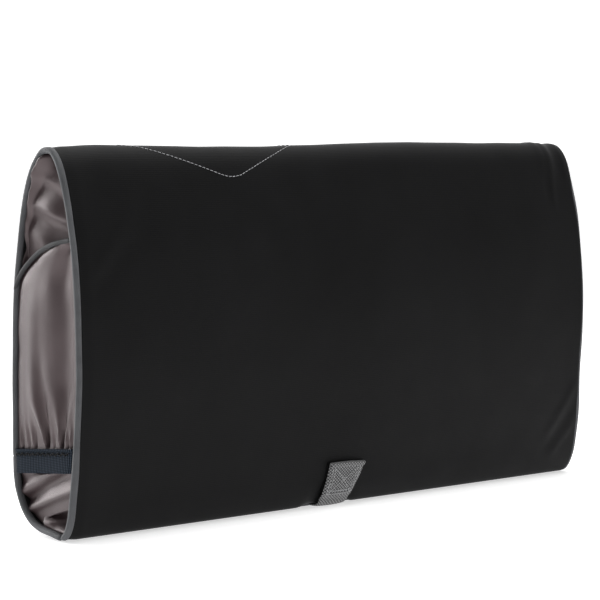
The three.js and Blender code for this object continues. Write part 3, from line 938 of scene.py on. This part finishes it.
def cuff(word, side):
    """Elastic band round the sleeve's neck, with a rolled top edge and a row of zigzag stitches."""
    around = 150
    low, high = CUFF
    lip = [(0.9, -0.5), (0.3, 0.0), (0, 0.45), (0.3, 0.85), (0.9, 0.9), (1.5, 0.5), (2.0, 0.15)]
    outer = [(high - down, proud) for down, proud in lip]
    outer += [(z, 0.15) for z in np.linspace(high - 2.6, low + 1.4, 12)]
    outer += [(low + 0.7, 0.35), (low + 0.15, 0.2), (low, -0.2), (low + 0.3, -0.6)]
    inner = [(z, -1.0) for z in np.linspace(low + 0.8, high - 1.4, 10)]
    rings = np.array([cuff_ring(z, side, around, proud)[0] for z, proud in outer + inner])
    count, across, _ = rings.shape
    faces = quads(count, across, wrap=True)
    last = (count - 1) * across
    index = np.arange(across)
    after = (index + 1) % across
    faces += np.stack([last + index, last + after, after, index], 1).tolist()
    points = rings.reshape(-1, 3)
    uv = np.c_[np.tile(np.arange(across) * 0.075, count), points[:, 2] / 10]
    piece = outward(new_piece(f"{word}_elastic_band", points, faces, ELASTIC, uv))
    belongs(piece, f"{word}_arm_sleeve", "elastic", f"{word}_cuff_elastic")
    zigzag(word, side, around)


def zigzag(word, side, around):
    """The row of sewn teeth under the elastic's rolled edge."""
    count = 22
    _, y, face = cuff_ring(CUFF[1] - 3, side, around, 0.15)
    place = np.interp(np.linspace(0.06, 0.96, count), np.linspace(0, 1, around), y)
    out = np.interp(place, y, face) + 0.3
    height = CUFF[1] - 3.3 + CUFF_TILT * place + np.where(np.arange(count) % 2 == 0, 0.7, -0.9)
    route = np.c_[side * out, place, height]
    stitches(f"{word}_zigzag_stitching", route, (side, 0, 0), NAVY_THREAD, f"{word}_arm_sleeve", "elastic",
             long=2.6, gap=0.4, thick=0.55, sunk=0.1)


def sleeve_piping(word, side):
    """The piping along the arch, sinking under the front binding."""
    yz = curve_through(ARCH, step=1.2)
    front = unit_step((-10 - yz[:, 0]) / 12)
    rear = unit_step((150 - yz[:, 1]) / 12)
    x = side * (PIPING_X - 1.6 * front - 1.2 * rear)
    centre = np.c_[x, yz]
    piece = roll(f"{word}_arch_piping", centre, PIPING, PIPING, (1, 0, 0), PIPED, around=14)
    belongs(piece, "bag", "binding", f"{word}_sleeve_piping")


# ---------------- closure tab
def tab_path():
    """The tab's middle surface in (y, z): from under the hem up the front panel."""
    up = [(z, over_front(z, 2.1) - 0.5 * unit_step((z - 22) / 12)) for z in np.linspace(9, 29.4, 12)]
    low = [(-13.2, 1.0), (-16.5, 1.0), (-20.3, 1.5), (-23.2, 3.4), (-24.9, 6.2)]
    return curve_through(low + [(y, z) for z, y in up], count=60)


def tab_edges(z):
    """The strap's left and right edge at height z: it leans to the right as it climbs."""
    left = np.interp(z, [0, 5, 10, 15, 22, 29], [-23.2, -23.8, -24, -23, -21.4, -20.6])
    right = np.interp(z, [0, 5, 10, 15, 21, 29], [1.6, 1.8, 2.8, 4.8, 8, 10.6])
    return left, right


def ribbon(name, line, left, right, thick, material, across=25, crown=0.0, lean=0.0, bow=0.0):
    """A strap on a (y, z) line: its middle is crowned, and its head leans and bows upwards."""
    normal = -inward(line)
    t = np.linspace(0, 1, across)
    x = left[:, None] * (1 - t) + right[:, None] * t
    soft = np.sqrt(np.clip(1 - np.abs(2 * t - 1) ** 14, 0.08, 1))
    half = thick / 2 * soft[None]
    arch = crown * (1 - (2 * t - 1) ** 2)[None]
    rise = (lean * (1 - t) + 4 * bow * t * (1 - t))[None] * unit_step((line[:, 1] - 8) / 20)[:, None]
    grids = []
    for sign in (1, -1):
        grid = offset_grid(x, line, normal, sign * half + arch)
        grid[..., 2] += rise
        grids.append(grid)
    return slab(name, *grids, material, cloth_uv(x, line)), grids[0], normal


def closure_tab():
    """The webbing strap from under the hem up the front, with its head folded over."""
    line = tab_path()
    left, right = tab_edges(line[:, 1])
    shape = {"crown": 0.5, "lean": 0.9, "bow": 0.6}
    piece, face, normal = ribbon("webbing_tab", line, left, right, 1.7, WEBBING, **shape)
    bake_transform(piece)
    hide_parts("closure_tab", "tab_anchor")
    head = slice(len(line) - 5, len(line))
    lip = line[head] + normal[head] * 1.1
    piece, *_ = ribbon("tab_head_fold", lip, left[head] + 0.3, right[head] - 0.3, 1.3, WEBBING, **shape)
    belongs(piece, "tab", "webbing")
    box_stitching(face, normal, line)
    patches()


def box_stitching(face, normal, line):
    """A box with a cross in it, sewn through the tab."""
    rows, across, _ = face.shape

    def at(u, v):
        row = v * (rows - 1)
        column = u * (across - 1)
        i, j = int(min(row, rows - 2)), int(min(column, across - 2))
        a, b = row - i, column - j
        low = face[i, j] * (1 - b) + face[i, j + 1] * b
        high = face[i + 1, j] * (1 - b) + face[i + 1, j + 1] * b
        return low * (1 - a) + high * a, np.r_[0, normal[i]]

    left, right, low, high = 0.1, 0.9, 0.47, 0.93
    uprights = [((u, low), (u, high)) for u in (left, right)]
    levels = [((left, v), (right, v)) for v in (low, high)]
    cross = [((left, low), (right, high)), ((right, low), (left, high))]
    doubled = [((u, low), (u, high)) for u in (0.17, 0.83)] + [((left, low + 0.05), (right, low + 0.05))]
    for number, (a, b) in enumerate(uprights + levels + cross + doubled, 1):
        found = [at(a[0] + (b[0] - a[0]) * t, a[1] + (b[1] - a[1]) * t) for t in np.linspace(0, 1, 24)]
        points, normals = map(np.array, zip(*found))
        stitches(f"tab_stitching_{number}", points, normals, GREY_THREAD, "tab", "webbing",
                 long=1.9, gap=0.5, thick=0.32)


def patches():
    """Loop patch on the panel and hook patch on the tab's back."""
    rows = [
        # The loop patch is real, but it reaches past the tab's sides and top so that its black pile shows
        # there as painted shade round the tab.
        ("loop", "bag", np.linspace(11, 30.6, 24), 0.3, (-0.9, 0.5)),
        ("hook", "tab", np.linspace(13, 27, 20), 0.95, (1.5, -1.5)),
    ]
    for word, body, z, clear, (more_left, more_right) in rows:
        line = np.stack([over_front(z, clear), z], 1)
        left, right = tab_edges(z)
        piece, *_ = ribbon(f"{word}_pile_patch", line, left + more_left, right + more_right, 0.6, PILE)
        belongs(piece, body, "hook_and_loop", f"{word}_patch")


# ---------------- inside of the bag
def liner():
    """The blackout compartment's folded sheet; its two ends are the CAD parts kept in carried_over."""
    low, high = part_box("blackout_liner")
    line = resampled(shell_line, 160)
    inside = line + inward(line) * (WALL + 2.0)
    inside = inside[inside[:, 1] > low.z / MM]
    x = np.linspace(low.x / MM, high.x / MM, 70)
    points = np.stack(np.broadcast_arrays(x[None], inside[:, :1], inside[:, 1:]), -1)
    ripple = 0.45 * wobble(points, 26, 31)
    grids = [offset_grid(x[None], inside, inward(inside), depth) for depth in (ripple, ripple + 0.6)]
    piece = slab("blackout_bag", *grids, BLACKOUT, cloth_uv(x[None], inside))
    belongs(piece, "bag", "blackout", "blackout_liner")


def zip_teeth(name, node, side):
    """Small moulded teeth with rounded heads along one tape edge."""
    low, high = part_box(node)
    pitch = 2.6
    x = np.arange(low.x / MM + 1.5, high.x / MM - 1.5, pitch)
    root = (high.y if side > 0 else low.y) / MM
    tip = (low.y if side > 0 else high.y) / MM
    middle = (low.z + high.z) / 2 / MM
    half = [(0.62, 0.0), (0.62, 0.45), (0.8, 0.8), (0.45, 1.0)]
    profile = [(-a, b) for a, b in half] + half[::-1]
    points, faces = [], []
    for place in x:
        base = len(points)
        for h in (-0.85, 0.85):
            points += [(place + a, root + (tip - root) * b, middle + h) for a, b in profile]
        faces.append([base + k for k in range(8)])
        faces.append([base + 8 + k for k in range(8)][::-1])
        faces += [[base + k, base + 8 + k, base + 8 + (k + 1) % 8, base + (k + 1) % 8] for k in range(8)]
    piece = outward(new_piece(name, points, faces, TEETH, smooth=False))
    belongs(piece, "bag", "zip_teeth", node)


def zip_tape(name, node):
    """One half of a zip's tape, slightly wavy."""
    low, high = (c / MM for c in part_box(node))
    x = np.linspace(low.x, high.x, 150)
    y = np.linspace(low.y, high.y, 8)
    points = np.stack(np.broadcast_arrays(x[None], y[:, None], (low.z + high.z) / 2), -1).astype(float)
    wave = 0.35 * wobble(points, 40, 41)
    grids = []
    for h in (0.3, -0.3):
        grid = points.copy()
        grid[..., 2] += wave + h
        grids.append(grid)
    piece = slab(name, grids[0], grids[1], TAPE, points[..., :2] / 10)
    belongs(piece, "bag", "zip_tape", node)


def zips():
    for word in ("outer", "inner"):
        for where, side in (("front", -1), ("back", 1)):
            zip_tape(f"{word}_{where}_tape", f"{word}_zip_tape_{where}")
            zip_teeth(f"{word}_{where}_teeth", f"{word}_zip_teeth_{where}", side)


def carried_over():
    """CAD nodes whose own shape is right: they get a material and softened edges."""
    kept = {
        ZIP_METAL: ["outer_zip_slider", "inner_zip_slider", "outer_zip_puller", "inner_zip_puller"],
        BLACKOUT: ["left_arm_collar", "right_arm_collar", "left_blackout_end", "right_blackout_end"],
    }
    for material, names in kept.items():
        for name in names:
            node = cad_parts[name]
            node.data.materials.clear()
            node.data.materials.append(material)
            edge = node.modifiers.new("soft_edges", "BEVEL")
            edge.width = (0.35 if material is ZIP_METAL else 0.2) * MM
            edge.segments = 2
            edge.limit_method = "ANGLE"


# ---------------- studio
LENS_MM = 132
EYE = (-0.991, -1.1075, 0.239)
AZIMUTH, PITCH = -41.26, 3.95
FLOOR_HALF = 30000
FLOOR_Z = -0.05


def aimed(data, place, direction):
    """A camera or lamp that looks in a direction."""
    made = bpy.data.objects.new(data.name, data)
    made.location = place
    made.rotation_mode = "QUATERNION"
    made.rotation_quaternion = direction.to_track_quat("-Z", "Y")
    bpy.context.scene.collection.objects.link(made)
    return made


def camera():
    """A long lens in front of the bag's left end, a little above its middle."""
    data = bpy.data.cameras.new("camera")
    data.lens = LENS_MM
    data.sensor_width = 36
    data.dof.use_dof = False
    data.clip_start, data.clip_end = 0.05, 50
    azimuth, pitch = math.radians(AZIMUTH), math.radians(PITCH)
    level = math.cos(pitch)
    back = Vector((math.sin(azimuth) * level, -math.cos(azimuth) * level, math.sin(pitch)))
    bpy.context.scene.camera = aimed(data, EYE, -back)


def area_light(name, place, aim, size, power):
    """A rectangular softbox turned towards aim, in metres and watts."""
    data = bpy.data.lights.new(name, "AREA")
    data.shape = "RECTANGLE"
    data.size, data.size_y = size
    data.energy = power
    aimed(data, place, Vector(aim) - Vector(place))


def toward(tree, vector, direction, source, target):
    """A value that moves smoothly from one range to another along a direction."""
    reach = tree.nodes.new("ShaderNodeVectorMath")
    reach.operation = "DOT_PRODUCT"
    reach.inputs[1].default_value = direction
    tree.links.new(vector, reach.inputs[0])
    ranged = tree.nodes.new("ShaderNodeMapRange")
    ranged.interpolation_type = "SMOOTHSTEP"
    fill(ranged, From_Min=source[0], From_Max=source[1], To_Min=target[0], To_Max=target[1])
    tree.links.new(reach.outputs["Value"], ranged.inputs["Value"])
    return ranged.outputs["Result"]


def studio():
    """A bright cyclorama behind the bag, a dimmer room in front of it, and a floor that glows as painted
    light.
    """
    world = bpy.data.worlds.new("studio")
    world.use_nodes = True
    tree = world.node_tree
    sky = tree.nodes["Background"]
    fill(sky, Color=(1, 1, 1, 1))
    view = tree.nodes.new("ShaderNodeTexCoord").outputs["Generated"]
    tree.links.new(toward(tree, view, (0.62, 0.78, 0), (0.2, 0.85), (0.2, 1.3)), sky.inputs["Strength"])
    bpy.context.scene.world = world
    bpy.context.scene.view_settings.view_transform = "Standard"
    area_light("end_softbox", (-0.75, 1.35, 0.55), (-0.2, 0, 0.12), (0.5, 0.8), 15)
    area_light("overhead_softbox", (0.1, 0.1, 1.8), (0, 0, 0), (1.6, 1.2), 34)
    # The floor glows as painted light: emission 0.6 round the bag, fading to 0.1 far to the left and back.
    s = Shader("pale_glowing_floor", (0.82, 0.82, 0.82), 0.6, Specular_IOR_Level=0.3, Emission_Strength=0.6)
    fill(s.base, Emission_Color=(1, 1, 1, 1))
    pool = toward(s.tree, s.place(1), (-0.9, 0.46, 0), (0.35, 1.2), (0.6, 0.1))
    s.link(pool, s.base.inputs["Emission Strength"])
    s.color(s.ramp(s.noise(3, 2), (0.81, 0.81, 0.815), (0.84, 0.84, 0.84)))
    corners = [(FLOOR_HALF * a, FLOOR_HALF * b, FLOOR_Z) for a, b in ((-1, -1), (1, -1), (1, 1), (-1, 1))]
    new_piece("floor", corners, [[0, 1, 2, 3]], s.material)


camera()
studio()
shell_outer, shell_rows = shell_panel()
flap_panel()
bindings()
contrast_stitching(shell_outer, shell_rows)
gussets()
sleeves()
closure_tab()
liner()
zips()
carried_over()
